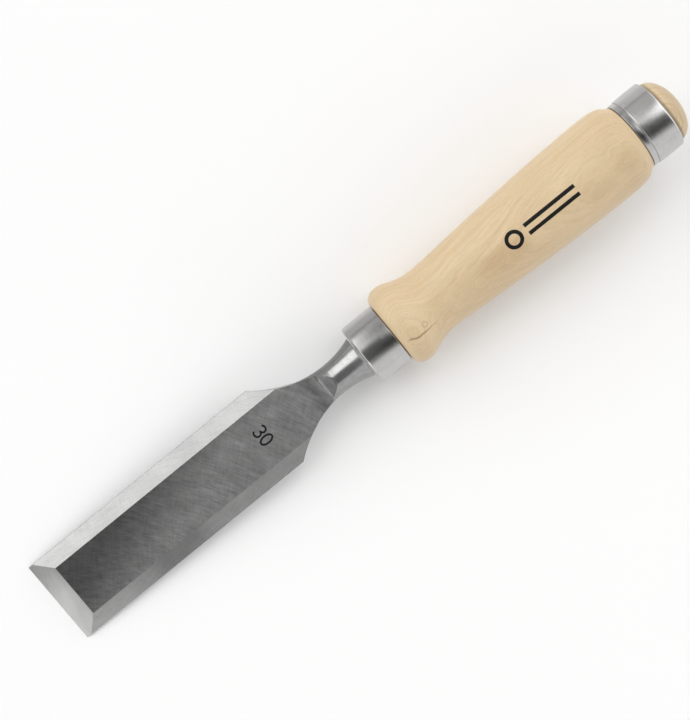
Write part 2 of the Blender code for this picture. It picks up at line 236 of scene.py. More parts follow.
class Nodes:
    """A node tree of a material or of the world, with the nodes that this scene needs."""

    def __init__(self, tree):
        self.tree = tree

    def node(self, kind, settings=None, sockets=None, output=0):
        """Add a node: its settings first, then its sockets by name or number."""
        node = self.tree.nodes.new(kind)
        for name, value in (settings or {}).items():
            if name == "stops":
                self.set_stops(node.color_ramp, value)
            else:
                setattr(node, name, value)
        for name, value in (sockets or {}).items():
            connect(self.tree, node.inputs[name], value)
        return Value(self.tree, node.outputs[output])

    @staticmethod
    def set_stops(ramp, stops):
        for i, (position, colour) in enumerate(stops):
            element = ramp.elements[i] if i < 2 else ramp.elements.new(position)
            element.position = position
            element.color = (*colour, 1.0) if len(colour) == 3 else colour

    def tool_position(self):
        """Position in the tool's own frame, in mm."""
        position = self.node("ShaderNodeTexCoord", output="Object")
        sockets = {
            "Vector": position,
            "Location": PLACE.to_translation(),
            "Rotation": PLACE.to_euler(),
            "Scale": (MM, MM, MM),
        }
        return self.node("ShaderNodeMapping", {"vector_type": "TEXTURE"}, sockets)

    def parts_of(self, vector):
        """The x, y and z of a vector."""
        node = self.tree.nodes.new("ShaderNodeSeparateXYZ")
        connect(self.tree, node.inputs[0], vector)
        return [Value(self.tree, socket) for socket in node.outputs]

    def vector(self, x, y, z):
        return self.node("ShaderNodeCombineXYZ", sockets={0: x, 1: y, 2: z})

    def noise(self, vector, scale=1.0, detail=2.0, roughness=0.5, distortion=0.0):
        sockets = {
            "Vector": vector,
            "Scale": scale,
            "Detail": detail,
            "Roughness": roughness,
            "Distortion": distortion,
        }
        return self.node("ShaderNodeTexNoise", sockets=sockets, output=0)

    def step(self, value, low, high, start=0.0, end=1.0):
        """A smooth step from start at low to end at high."""
        sockets = {"Value": value, "From Min": low, "From Max": high, "To Min": start, "To Max": end}
        return self.node("ShaderNodeMapRange", {"interpolation_type": "SMOOTHSTEP"}, sockets)

    def band(self, value, rise, fall):
        """1 between two soft steps and 0 outside them. rise and fall are (from, to) pairs."""
        return self.step(value, *rise) * (1.0 - self.step(value, *fall))

    def mix(self, factor, first, second):
        """Mix two colours."""
        sockets = {0: factor, 6: first, 7: second}
        return self.node("ShaderNodeMix", {"data_type": "RGBA"}, sockets, output=2)

    def shade(self, factor, colour):
        """Multiply a colour by a grey factor."""
        grey = self.node("ShaderNodeCombineColor", sockets={0: factor, 1: factor, 2: factor})
        sockets = {0: 1.0, 6: colour, 7: grey}
        return self.node("ShaderNodeMix", {"data_type": "RGBA", "blend_type": "MULTIPLY"}, sockets, output=2)


class Finish(Nodes):
    """A material with one Principled surface."""

    def __init__(self, name, **plain):
        self.material = bpy.data.materials.new(name)
        self.material.use_nodes = True
        super().__init__(self.material.node_tree)
        self.surface = self.tree.nodes["Principled BSDF"]
        self.set(**plain)

    def set(self, **sockets):
        """Set or link sockets of the surface. An underscore stands for a space."""
        for name, value in sockets.items():
            slot = self.surface.inputs[name.replace("_", " ")]
            connect(self.tree, slot, value)

    def bump(self, height, depth_mm, strength=1.0):
        sockets = {"Height": height, "Distance": depth_mm * MM, "Strength": strength}
        self.set(Normal=self.node("ShaderNodeBump", sockets=sockets))


def grey(level, warmth=0.0):
    """A nearly neutral grey. Warmth lifts red and lowers blue."""
    return (level * (1.0 + warmth), level, level * (1.0 - warmth), 1.0)


# ---------------------------------------------------------------- materials


def arc_grain(nodes, position, centre, fine, along):
    """Streaks on circles about a centre: the marks of a grinding wheel. fine is how many
    streaks cross a mm, and along is how long they run, in mm."""
    x, y, z = nodes.parts_of(position)
    dx = x - centre[0]
    dy = y - centre[1]
    radius = (dx * dx + dy * dy) ** 0.5
    turn = dy.math("ARCTAN2", dx)
    reach = math.hypot(centre[0] - (EDGE_X + SHOULDER_X) / 2.0, centre[1])
    return nodes.noise(nodes.vector(radius * fine, turn * (reach / along), z * 0.3), 1.0, 3.0, 0.6)


def ground_steel(name, level, roughness, centre, cross_centre, tone, depth):
    """Steel from the grinder: streaks of two passes, a slow change of tone and a light bump.
    tone is a function of (nodes, x, y) that gives a grey factor of painted reflection and shade."""
    finish = Finish(name, Metallic=1.0)
    position = finish.tool_position()
    x, y, z = finish.parts_of(position)
    coarse = arc_grain(finish, position, centre, 0.8, 7.0)
    fine = arc_grain(finish, position, centre, 1.9, 4.0)
    crossing = arc_grain(finish, position, cross_centre, 1.4, 5.0)
    cloud = finish.noise(position, 0.12, 2.0, 0.5)
    streaks = coarse * 0.3 + fine * 0.45 + crossing * 0.25
    light = (streaks - 0.5) * depth + (cloud - 0.5) * 0.25 + 1.0
    # The tone's grey factor paints reflections and shade into the steel's colour.
    colour = finish.shade(light * tone(finish, x, y), grey(level, 0.006))
    finish.set(Base_Color=colour, Roughness=(streaks - 0.5) * 0.3 + roughness)
    finish.bump(fine * 0.6 + crossing * 0.4, 0.012, 0.5)
    return finish.material


# Painted light: tones that change with place on the tool. They are painted reflections,
# painted highlights and painted shade as much as the finish, so they stay where they are when
# the light or the view changes. A ramp is from, to, and the grey factors at the two. A band is
# the (from, to) pairs where it rises and falls. They are in mm along or across the tool, or in
# degrees about its axis, 0 on top and positive to the left. The flat's ramp runs on a slant,
# along x less FLAT_SLANT times y.
FLAT_SLANT = 3.0
FLAT_RAMP = (-142.0, -66.0, 0.42, 1.25)
FLAT_HOLLOW_RAMP = (-36.0, -31.0, 1.0, 0.55)
LEFT_RAMP = (-75.0, SHOULDER_X, 1.0, 1.16)
RIGHT_DARK_BAND = ((-112.0, -104.0), (-92.0, -84.0))
RIGHT_DARK = 0.27
RIGHT_BRIGHT_END = (-124.0, -114.0)
RIGHT_BRIGHT = 0.3
EDGE_RAMP_ACROSS = (-3.0, 14.0, 1.0, 0.57)
EDGE_RAMP_ALONG = (EDGE_X, HEEL_X, 0.92, 1.09)
NECK_LEFT_BAND = ((42.0, 54.0), (120.0, 150.0))
NECK_LEFT_PAINTED_SHADE = 0.42
NECK_RIGHT_BAND = ((-150.0, -120.0), (-48.0, -36.0))
NECK_RIGHT_PAINTED_SHADE = 0.15
RING_TOP_BAND = ((-12.0, -5.0), (60.0, 80.0))
RING_TOP_EASE = (24.0, 42.0, 0.0, 0.65)
RING_TOP_PAINTED_SHADE = 0.44
RING_LOW_BAND = ((40.0, 48.0), (58.0, 72.0))
RING_LOW_PAINTED_SHADE = 0.2
FERRULE_TONE_END = (-1.0, 0.0)
LIP_END_X = HOOP_FRONT_X + HOOP_LIP_WIDTH
LIP_TONE_BAND = ((HOOP_FRONT_X - 1.0, HOOP_FRONT_X), (LIP_END_X - 0.2, LIP_END_X + 0.1))


def flat_painted_light(nodes, x, y):
    """Painted reflection and painted shade: darkest at the tip's left corner, lighter towards the neck, dark
    again in the hollow.
    """
    return nodes.step(x - y * FLAT_SLANT, *FLAT_RAMP) * nodes.step(x, *FLAT_HOLLOW_RAMP)


def left_painted_light(nodes, x, y):
    """Painted reflection: a little lighter towards the shoulder."""
    return nodes.step(x, *LEFT_RAMP)


def right_painted_light(nodes, x, y):
    """Painted shade half way along and a painted highlight near the tip."""
    dark = nodes.band(x, *RIGHT_DARK_BAND)
    bright = 1.0 - nodes.step(x, *RIGHT_BRIGHT_END)
    return bright * RIGHT_BRIGHT - dark * RIGHT_DARK + 1.0


def edge_painted_light(nodes, x, y):
    """Painted reflection: darker towards the left end and a little darker at the cutting edge."""
    return nodes.step(y, *EDGE_RAMP_ACROSS) * nodes.step(x, *EDGE_RAMP_ALONG)


def turn_about_axis(y, z):
    """Degrees about the tool's axis, 0 on top and positive to the left."""
    return y.math("ARCTAN2", z) * math.degrees(1.0)


def polished_steel():
    """The neck and bolster: forged round, then polished along the tool, with painted shade on both sides."""
    finish = Finish("neck_polish", Metallic=1.0)
    position = finish.tool_position()
    x, y, z = finish.parts_of(position)
    lines = finish.noise(finish.vector(x * 0.12, y * 3.0, z * 3.0), 1.0, 3.0, 0.6)
    cloud = finish.noise(position, 0.35, 3.0, 0.55)
    turn = turn_about_axis(y, z)
    left = finish.band(turn, *NECK_LEFT_BAND)
    right = finish.band(turn, *NECK_RIGHT_BAND)
    light = (lines - 0.5) * 0.35 + (cloud - 0.5) * 0.3 + 1.0
    # Painted shade: darker bands low on the neck's left and right sides.
    light = light - left * NECK_LEFT_PAINTED_SHADE - right * NECK_RIGHT_PAINTED_SHADE
    finish.set(Base_Color=finish.shade(light, grey(0.355, 0.004)), Roughness=(cloud - 0.5) * 0.12 + 0.2)
    finish.bump(lines, 0.01, 0.35)
    return finish.material


def ring_painted_shade(nodes, x, y, z):
    """Painted shade: darker on top of the ferrule and the hoop's lip, and low on the left of both rings."""
    turn = turn_about_axis(y, z)
    rise, fall = RING_TOP_BAND
    top = nodes.step(turn, *rise) * (1.0 - nodes.step(turn, *RING_TOP_EASE))
    top = top * (1.0 - nodes.step(turn, *fall))
    ferrule = 1.0 - nodes.step(x, *FERRULE_TONE_END)
    lip = nodes.band(x, *LIP_TONE_BAND)
    low = nodes.band(turn, *RING_LOW_BAND)
    return 1.0 - top * (ferrule + lip) * RING_TOP_PAINTED_SHADE - low * RING_LOW_PAINTED_SHADE


def nickel_plate():
    """Satin nickel on the drawn steel rings, with fine mottling, small rub marks and painted shade."""
    finish = Finish("satin_nickel", Metallic=1.0)
    position = finish.tool_position()
    x, y, z = finish.parts_of(position)
    mottle = finish.noise(position, 2.6, 4.0, 0.65)
    cloud = finish.noise(position, 0.3, 2.0, 0.5)
    rub = finish.noise(finish.vector(x * 0.8, y * 0.35, z * 0.35), 1.0, 4.0, 0.7)
    worn = finish.step(rub, 0.55, 0.75)
    light = (mottle - 0.5) * 0.5 + (cloud - 0.5) * 0.16 + 1.0 - worn * 0.08
    # Painted shade on top of the rings and low on their left.
    light = light * ring_painted_shade(finish, x, y, z)
    finish.set(Base_Color=finish.shade(light, grey(0.53, 0.012)))
    finish.set(Roughness=(mottle - 0.5) * 0.16 + worn * 0.06 + 0.22)
    finish.bump(mottle, 0.02, 0.5)
    return finish.material


WOOD_EARLY = (0.625, 0.48, 0.296, 1.0)
WOOD_LATE = (0.53, 0.38, 0.212, 1.0)
WOOD_WARM = (0.575, 0.41, 0.243, 1.0)
WOOD_TAN = (0.5, 0.34, 0.185, 1.0)
WOOD_SEAM = (0.24, 0.14, 0.065, 1.0)

# The middle of the tree, as y and z, and about how many of its layers and of its finer
# lines there are to a mm.
TREE_MIDDLE = (17.0, -60.0)
LAYER_DENSITY = 1.1
LINE_DENSITY = 3.6

# The dome: where its end grain darkens, and the ring of painted shadow at its foot by the hoop.
END_GRAIN_RAMP = (DOME_X + 0.5, DOME_X + 3.5)
END_GRAIN_DARK = 0.19
FOOT_SHADOW_BAND = ((DOME_X - 0.4, DOME_X), (DOME_X + 0.3, DOME_X + 1.3))
FOOT_PAINTED_SHADOW = 0.48

# The tan patch on the belly and the knot by the seam: their middles and sizes.
PATCH_MIDDLE = (43.0, -3.0)
PATCH_REACH = (11.0, 4.4)
KNOT_MIDDLE = (9.6, -3.5)
KNOT_RADIUS = 0.85


def pale_wood():
    """Turned pale hardwood under a thin satin lacquer. The growth layers are shells about a
    far axis, so the belly cuts them in long rings and the waist cuts them in close lines."""
    finish = Finish("pale_wood", Metallic=0.0, IOR=1.46, Coat_IOR=1.5, Coat_Roughness=0.35)
    position = finish.tool_position()
    x, y, z = finish.parts_of(position)
    wander = finish.noise(finish.vector(x * 0.03, y * 0.06, z * 0.06), 1.0, 3.0, 0.55)
    tree_y = y - TREE_MIDDLE[0]
    tree_z = z - TREE_MIDDLE[1]
    layer = (tree_y * tree_y + tree_z * tree_z) ** 0.5 + x * 0.03 + wander * 5.0

    ring = finish.noise(finish.vector(layer * LAYER_DENSITY, x * 0.02, 0.0), 1.0, 3.0, 0.6)
    late = finish.step(ring, 0.44, 0.66)
    lines = finish.noise(finish.vector(layer * LINE_DENSITY, x * 0.05, 0.0), 1.0, 3.0, 0.6)
    fibre = finish.noise(finish.vector(x * 0.22, y * 2.6, z * 2.6), 1.0, 3.0, 0.6)
    fleck = finish.noise(finish.vector(x * 0.6, y * 4.0, z * 4.0), 1.0, 2.0, 0.6)
    ray = finish.step(fleck, 0.58, 0.7)
    cloud = finish.noise(finish.vector(x * 0.035, y * 0.09, z * 0.09), 1.0, 2.0, 0.5)

    base = finish.mix(late * 0.42, WOOD_EARLY, WOOD_LATE)
    warm = finish.step(cloud, 0.4, 0.75)
    base = finish.mix(warm * 0.4, base, WOOD_WARM)
    base = finish.mix(tan_patch(finish, x, y, z) * 0.5, base, WOOD_TAN)
    base = finish.mix(seam_line(finish, x, y, z) * 0.75, base, WOOD_SEAM)
    end_grain = finish.step(x, *END_GRAIN_RAMP)
    # foot is a painted shadow on the wood next to the proud hoop.
    foot = finish.band(x, *FOOT_SHADOW_BAND)
    light = (lines - 0.5) * 0.4 + (fibre - 0.5) * 0.2 - ray * 0.14
    light = light - end_grain * END_GRAIN_DARK - foot * FOOT_PAINTED_SHADOW + 1.03
    finish.set(Base_Color=finish.shade(light, base))
    finish.set(Roughness=(fibre - 0.5) * 0.16 + ray * 0.1 + 0.45)
    finish.set(Coat_Weight=0.14 - ray * 0.08)
    finish.bump(lines * 0.5 + fibre * 0.3 - ray * 0.4, 0.03, 0.4)
    return finish.material


def tan_patch(finish, x, y, z):
    """A darker patch of heartwood on top of the belly."""
    wave = finish.noise(finish.vector(x * 0.12, y * 0.4, 0.0), 1.0, 2.0, 0.5) - 0.5
    along = (x - PATCH_MIDDLE[0]) / PATCH_REACH[0]
    across = (y - PATCH_MIDDLE[1] + wave * 4.0) / PATCH_REACH[1]
    far = along ** 2.0 + across ** 2.0
    return (1.0 - finish.step(far, 0.1, 1.4)) * finish.step(z, 0.0, 4.0)


def seam_line(finish, x, y, z):
    """A short dark line of grain that dips across the bead and ends by a small knot."""
    sway = finish.noise(finish.vector(x * 0.5, 0.0, 0.0), 1.0, 2.0, 0.5) - 0.5
    dip = finish.step(x, 2.2, 6.0, 4.3, 5.5)
    line = (y + dip - sway * 0.8).abs()
    width = finish.step(x, 5.5, 12.0, 0.42, 0.2)
    thin = 1.0 - finish.step(line / width, 0.3, 1.3)
    stretch = finish.step(x, 1.6, 3.2) * finish.step(x, 8.0, 15.5, 1.0, 0.0)
    upper = finish.step(z, 0.0, 2.0)
    kx = x - KNOT_MIDDLE[0]
    ky = y - KNOT_MIDDLE[1]
    knot_radius = (kx * kx + ky * ky) ** 0.5
    knot = 1.0 - finish.step((knot_radius - KNOT_RADIUS).abs(), 0.1, 0.45)
    return (thin * stretch).most(knot * 0.4) * upper


def dark_ink(name):
    """Black print, thin enough to follow the surface, with slightly worn edges."""
    finish = Finish(name, Metallic=0.0, Specular_IOR_Level=0.2)
    position = finish.tool_position()
    wear = finish.noise(position, 3.0, 3.0, 0.6)
    finish.set(Base_Color=finish.mix(finish.step(wear, 0.5, 0.8), grey(0.006), grey(0.02)))
    finish.set(Roughness=(wear - 0.5) * 0.2 + 0.5)
    finish.bump(wear, 0.01, 0.3)
    return finish.material


def floor_paint():
    finish = Finish("pale_floor", Metallic=0.0)
    position = finish.node("ShaderNodeTexCoord", output="Object")
    cloud = finish.noise(position, 6.0, 3.0, 0.5)
    finish.set(Base_Color=finish.mix(cloud, grey(0.89, 0.002), grey(0.92, 0.002)))
    finish.set(Roughness=(cloud - 0.5) * 0.1 + 0.75)
    return finish.material


# ---------------------------------------------------------------- shaping


def piece_from(name, bm, materials, parts=()):
    """Turn a shape drawn in the tool's frame into a finished piece of the object."""
    bm.transform(PLACE)
    bmesh.ops.recalc_face_normals(bm, faces=bm.faces)
    mesh = bpy.data.meshes.new(name)
    bm.to_mesh(mesh)
    bm.free()
    for material in materials:
        mesh.materials.append(material)
    obj = bpy.data.objects.new(name, mesh)
    bpy.context.scene.collection.objects.link(obj)
    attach(obj, "root")
    if parts:
        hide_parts(*parts)
    return obj


def arc(centre, radius, start, end, steps=ARC_STEPS):
    """Points on a circle between two angles in degrees, as (radius, x) pairs."""
    found = []
    for i in range(steps + 1):
        angle = math.radians(start + (end - start) * i / steps)
        found.append((centre[0] + radius * math.cos(angle), centre[1] + radius * math.sin(angle)))
    return found


def tangent_rise(run, rise, steps=CURVE_STEPS):
    """Points of a circle that starts level at (0, 0) and ends at (run, rise)."""
    radius = (run * run + rise * rise) / (2.0 * rise)
    reach = math.asin(run / radius)
    found = []
    for i in range(steps + 1):
        angle = reach * i / steps
        found.append((radius * math.sin(angle), radius * (1.0 - math.cos(angle))))
    return found


def shoulder_curve():
    """(x, half width) from the narrowest place of the neck forward to the blade's shoulder."""
    rise = tangent_rise(NECK_X - SHOULDER_X, BLADE_WIDTH / 2.0 - NECK_RADIUS, 2 * CURVE_STEPS)
    return [(NECK_X - run, NECK_RADIUS + up) for run, up in rise]


def turned(outline, closed):
    """Turn (radius, x) pairs about the tool's axis."""
    bm = bmesh.new()
    points = [bm.verts.new((x, radius, 0.0)) for radius, x in outline]
    edges = [bm.edges.new(pair) for pair in zip(points, points[1:])]
    if closed:
        edges.append(bm.edges.new((points[-1], points[0])))
    bmesh.ops.spin(
        bm,
        geom=points + edges,
        cent=(0.0, 0.0, 0.0),
        axis=(1.0, 0.0, 0.0),
        angle=math.tau,
        steps=TURN_STEPS,
        use_merge=True,
    )
    bmesh.ops.remove_doubles(bm, verts=bm.verts, dist=MERGE)
    bmesh.ops.recalc_face_normals(bm, faces=bm.faces)
    return bm


def smooth_turned(obj, angle=30.0):
    obj.data.shade_smooth()
    obj.data.set_sharp_from_angle(angle=math.radians(angle))


def prism(outline, axis, half):
    """A flat outline of (first, second) pairs given its thickness along an axis, half to each
    side: across Y the pairs are (x, z), along X they are (y, z), up Z they are (x, y)."""
    orders = {
        "X": lambda a, b: (-half, a, b),
        "Y": lambda a, b: (a, -half, b),
        "Z": lambda a, b: (a, b, -half),
    }
    along = {"X": (2.0 * half, 0.0, 0.0), "Y": (0.0, 2.0 * half, 0.0), "Z": (0.0, 0.0, 2.0 * half)}
    bm = bmesh.new()
    face = bm.faces.new([bm.verts.new(orders[axis](a, b)) for a, b in outline])
    found = bmesh.ops.extrude_face_region(bm, geom=[face])["geom"]
    verts = [element for element in found if isinstance(element, bmesh.types.BMVert)]
    bmesh.ops.translate(bm, verts=verts, vec=along[axis])
    bmesh.ops.recalc_face_normals(bm, faces=bm.faces)
    return bm


def helper(bm, name):
    mesh = bpy.data.meshes.new(name)
    bm.to_mesh(mesh)
    bm.free()
    obj = bpy.data.objects.new(name, mesh)
    bpy.context.scene.collection.objects.link(obj)
    return obj


def carve(base, steps):
    """Join or cut a shape with others, in order, and return the result as one bmesh."""
    blank = helper(base, "blank")
    others = []
    for operation, shape in steps:
        other = helper(shape, "shape")
        boolean = blank.modifiers.new("step", "BOOLEAN")
        boolean.operation = operation
        boolean.solver = "EXACT"
        boolean.object = other
        others.append(other)
    bpy.context.view_layer.update()
    mesh = bpy.data.meshes.new_from_object(blank.evaluated_get(bpy.context.evaluated_depsgraph_get()))
    result = bmesh.new()
    result.from_mesh(mesh)
    for obj in (blank, *others):
        bpy.data.objects.remove(obj)
    return result


# ---------------------------------------------------------------- blade


def top_z(x):
    """Height of the blade's flat top, which thickens from the heel to the shoulder."""
    slope = (SHOULDER_THICKNESS - HEEL_THICKNESS) / (SHOULDER_X - HEEL_X)
    return BACK_Z + HEEL_THICKNESS + slope * (x - HEEL_X)


def top_outline():
    """The ground top in side view: flat, hollow up to the neck, then a step and a facet."""
    start = NECK_X - TOP_HOLLOW_START
    hollow = tangent_rise(TOP_HOLLOW_START - TOP_HOLLOW_END, TOP_HOLLOW_RISE)
    clear = BOLSTER_RADIUS + OVERRUN
    front = EDGE_X - OVERRUN
    outline = [(front, top_z(front))] + [(start + run, top_z(start) + up) for run, up in hollow]
    step = (outline[-1][0] + STEP_LENGTH, outline[-1][1] + STEP_RISE)
    slope = (NECK_RADIUS - step[1]) / (NECK_X + FACET_PAST_NECK - step[0])
    outline += [step, (step[0] + (clear - step[1]) / slope, clear), (front, clear)]
    return outline


def back_outline():
    start = NECK_X - BACK_HOLLOW_START
    drop = NECK_RADIUS + FIT_GAP + BACK_Z
    curve = tangent_rise(BACK_HOLLOW_START - BACK_HOLLOW_END, drop)
    clear = BOLSTER_RADIUS + OVERRUN
    front = EDGE_X - OVERRUN
    outline = [(front, BACK_Z)] + [(start + run, BACK_Z - down) for run, down in curve]
    return outline + [(outline[-1][0], -clear), (front, -clear)]


def edge_outline():
    """The wedge over the edge bevel, in side view."""
    clear = BOLSTER_RADIUS + OVERRUN
    low = BACK_Z + EDGE_LAND
    steep = math.tan(BEVEL_ANGLE)
    front = EDGE_X - OVERRUN
    tip = (EDGE_X - BEVEL_OVERRUN / steep, low - BEVEL_OVERRUN)
    top = (EDGE_X + clear / steep, low + clear)
    return [tip, top, (front, top[1]), (front, tip[1])]


def side_cutter(side):
    """The wedge that takes one side bevel off the blade, parallel to the tapered top."""
    outer = SIDE_BEVEL_WIDTH + OVERRUN
    steep = math.tan(BEVEL_ANGLE)
    clear = BOLSTER_RADIUS + OVERRUN
    outline = [
        (side * (RIDGE_Y - BEVEL_OVERRUN), BEVEL_OVERRUN * steep),
        (side * (RIDGE_Y + outer), -outer * steep),
        (side * (RIDGE_Y + outer), clear),
        (side * (RIDGE_Y - BEVEL_OVERRUN), clear),
    ]
    bm = prism(outline, "X", BLADE_LENGTH / 2.0 + TOP_HOLLOW_START)
    middle = (EDGE_X + SHOULDER_X) / 2.0
    taper = math.atan((top_z(SHOULDER_X) - top_z(EDGE_X)) / BLADE_LENGTH)
    bm.transform(Matrix.Translation((middle, 0.0, top_z(middle))) @ Matrix.Rotation(-taper, 4, "Y"))
    return bm


def blade_blank():
    """The flat plate with its concave shoulders, and the round neck that it runs into."""
    low = BACK_Z - BACK_STOCK
    high = top_z(NECK_X) + TOP_STOCK
    tongue_start = NECK_X - BACK_HOLLOW_START
    tongue_end = NECK_X - TONGUE_END
    curve = shoulder_curve()
    shoulders = [point for point in curve if point[0] < tongue_start]
    end_radius = min(curve, key=lambda point: abs(point[0] - tongue_end))[1]
    end_half = math.sqrt(end_radius**2 - max(-low, high) ** 2) - FIT_GAP
    side = [(tongue_end, end_half)] + shoulders + [(EDGE_X, BLADE_WIDTH / 2.0)]
    plate = prism(side + [(x, -half) for x, half in reversed(side)], "Z", (high - low) / 2.0)
    plate.transform(Matrix.Translation((0.0, 0.0, (high + low) / 2.0)))

    flare = tangent_rise(BOLSTER_X - NECK_X, BOLSTER_RADIUS - NECK_RADIUS)
    corner = (BOLSTER_RADIUS - EDGE_ROUNDING, BOLSTER_X - EDGE_ROUNDING)
    profile = [(0.0, BOLSTER_X)] + arc(corner, EDGE_ROUNDING, 90.0, 20.0, 4)
    profile += [(NECK_RADIUS + up, NECK_X + run) for run, up in reversed(flare[1:-2])]
    profile += [(half - NECK_SKIN, x) for x, half in curve if x > tongue_start]
    profile.append((0.0, tongue_start - OVERRUN))
    return plate, turned(profile, closed=False)


def round_ridges(bm):
    """Break the straight ridges of the ground blade, which a grinder never leaves quite sharp."""
    bmesh.ops.remove_doubles(bm, verts=bm.verts, dist=MERGE)
    bmesh.ops.dissolve_limit(bm, angle_limit=math.radians(0.05), verts=bm.verts, edges=bm.edges)
    ridges = []
    for edge in bm.edges:
        if len(edge.link_faces) != 2:
            continue
        on_blade = max(vert.co.x for vert in edge.verts) < SHOULDER_X + 8.0
        straight = edge.calc_length() > 2.0
        if on_blade and straight and edge.calc_face_angle() > math.radians(12.0):
            ridges.append(edge)
    bmesh.ops.bevel(
        bm,
        geom=ridges,
        offset=RIDGE_ROUNDING,
        offset_type="OFFSET",
        affect="EDGES",
        segments=2,
        profile=0.5,
        material=-1,
        clamp_overlap=True,
    )
    bmesh.ops.remove_doubles(bm, verts=bm.verts, dist=SLIVER)
    bmesh.ops.dissolve_degenerate(bm, dist=MERGE, edges=bm.edges)


def face_kind(face):
    """Which finish a blade face has: 0 flat, 1 left bevel, 2 right bevel, 3 edge bevel, 4 neck."""
    centre = face.calc_center_median()
    normal = face.normal
    if centre.x > NECK_X - TOP_HOLLOW_END - 0.2 * STEP_LENGTH:
        return 4
    if abs(normal.z) > 0.985:
        return 0
    if normal.x < -0.25 and centre.x < HEEL_X + 1.0:
        return 3
    if 0.3 < normal.z and abs(normal.y) > 0.3 and centre.x < SHOULDER_X + 14.0 and abs(normal.x) < 0.2:
        return 1 if normal.y > 0.0 else 2
    return 0 if abs(normal.y) < 0.2 else 4


def make_blade():
    plate, neck = blade_blank()
    far = BLADE_WIDTH / 2.0 + OVERRUN
    bm = carve(
        plate,
        [
            ("UNION", neck),
            ("DIFFERENCE", prism(top_outline(), "Y", far)),
            ("DIFFERENCE", prism(back_outline(), "Y", far)),
            ("DIFFERENCE", side_cutter(1.0)),
            ("DIFFERENCE", side_cutter(-1.0)),
            ("DIFFERENCE", prism(edge_outline(), "Y", far)),
        ],
    )
    round_ridges(bm)
    bm.normal_update()
    for face in bm.faces:
        face.material_index = face_kind(face)
        face.smooth = face.material_index == 4 or face.calc_area() < 1.0
    materials = [
        ground_steel("flat_ground", 0.38, 0.33, (-218.0, -86.0), (60.0, -150.0), flat_painted_light, 1.3),
        ground_steel("left_bevel_ground", 0.305, 0.27, (-150.0, -190.0), (-240.0, 60.0), left_painted_light, 1.0),
        ground_steel("right_bevel_ground", 0.27, 0.30, (-150.0, 190.0), (-240.0, -60.0), right_painted_light, 0.8),
        ground_steel("edge_ground", 0.37, 0.30, (40.0, -60.0), (-60.0, 60.0), edge_painted_light, 0.6),
        polished_steel(),
    ]
    blade = piece_from("blade_body", bm, materials, ["blade"])
    blade.data.set_sharp_from_angle(angle=math.radians(24.0))
    return blade


# ---------------------------------------------------------------- rings and handle


def make_ferrule(material):
    rounding = FERRULE_ROUNDING
    inner = FERRULE_RADIUS - FERRULE_WALL
    floor_x = FERRULE_FRONT_X + FERRULE_WALL
    outline = [(inner, -FIT_GAP)]
    outline += arc((FERRULE_RADIUS - EDGE_ROUNDING, -FIT_GAP - EDGE_ROUNDING), EDGE_ROUNDING, 90.0, 0.0, 5)
    outline += arc((FERRULE_RADIUS - rounding, FERRULE_FRONT_X + rounding), rounding, 0.0, -90.0, 12)
    outline += [(FERRULE_HOLE_RADIUS, FERRULE_FRONT_X), (FERRULE_HOLE_RADIUS, floor_x), (inner, floor_x)]
    ferrule = piece_from("ferrule_cup", turned(outline, closed=True), [material], ["ferrule"])
    smooth_turned(ferrule)
    return ferrule


def crowned(radius, crown, first, last):
    """(radius, x) points along a band that swells by its crown half way."""
    found = []
    for i in range(1, CURVE_STEPS):
        share = i / CURVE_STEPS
        found.append((radius + crown * 4.0 * share * (1.0 - share), first + (last - first) * share))
    return found


def make_hoop(material):
    """The striking ring: a rolled lip, a crease, and a band that is crowned along its length."""
    inner = HOOP_RADIUS - HOOP_WALL
    lip_radius = HOOP_RADIUS - HOOP_LIP_DROP
    groove_radius = lip_radius - HOOP_GROOVE_DEPTH
    lip_end = HOOP_FRONT_X + HOOP_LIP_WIDTH
    band_start = lip_end + HOOP_GROOVE_WIDTH
    band_radius = HOOP_RADIUS - HOOP_CROWN
    outline = [(inner, HOOP_REAR_X)]
    outline += arc((band_radius - HOOP_ROUNDING, HOOP_REAR_X - HOOP_ROUNDING), HOOP_ROUNDING, 90.0, 0.0)
    band_front = band_start + EDGE_ROUNDING
    outline += crowned(band_radius, HOOP_CROWN, HOOP_REAR_X - HOOP_ROUNDING, band_front)
    outline += arc((band_radius - EDGE_ROUNDING, band_front), EDGE_ROUNDING, 0.0, -90.0)
    outline += [(groove_radius, band_start), (groove_radius, lip_end)]
    lip_edge = lip_radius - LIP_CROWN
    lip_front = HOOP_FRONT_X + EDGE_ROUNDING
    outline += arc((lip_edge - EDGE_ROUNDING, lip_end - EDGE_ROUNDING), EDGE_ROUNDING, 90.0, 0.0)
    outline += crowned(lip_edge, LIP_CROWN, lip_end - EDGE_ROUNDING, lip_front)
    outline += arc((lip_edge - EDGE_ROUNDING, lip_front), EDGE_ROUNDING, 0.0, -90.0)
    outline.append((inner, HOOP_FRONT_X))
    hoop = piece_from("striking_hoop", turned(outline, closed=True), [material], ["hoop"])
    smooth_turned(hoop)
    return hoop


def swelling(start, start_ease, end, end_ease, steps, slope=0.0):
    """(radius, x) points of a stretch that starts level with the axis and falls by the angle
    slope at its end."""
    found = interpolate_bezier(
        Vector((start[0], start[1], 0.0)),
        Vector((start[0], start[1] + start_ease, 0.0)),
        Vector((end[0] + end_ease * math.sin(slope), end[1] - end_ease * math.cos(slope), 0.0)),
        Vector((end[0], end[1], 0.0)),
        steps + 1,
    )
    return [(point.x, point.y) for point in found]


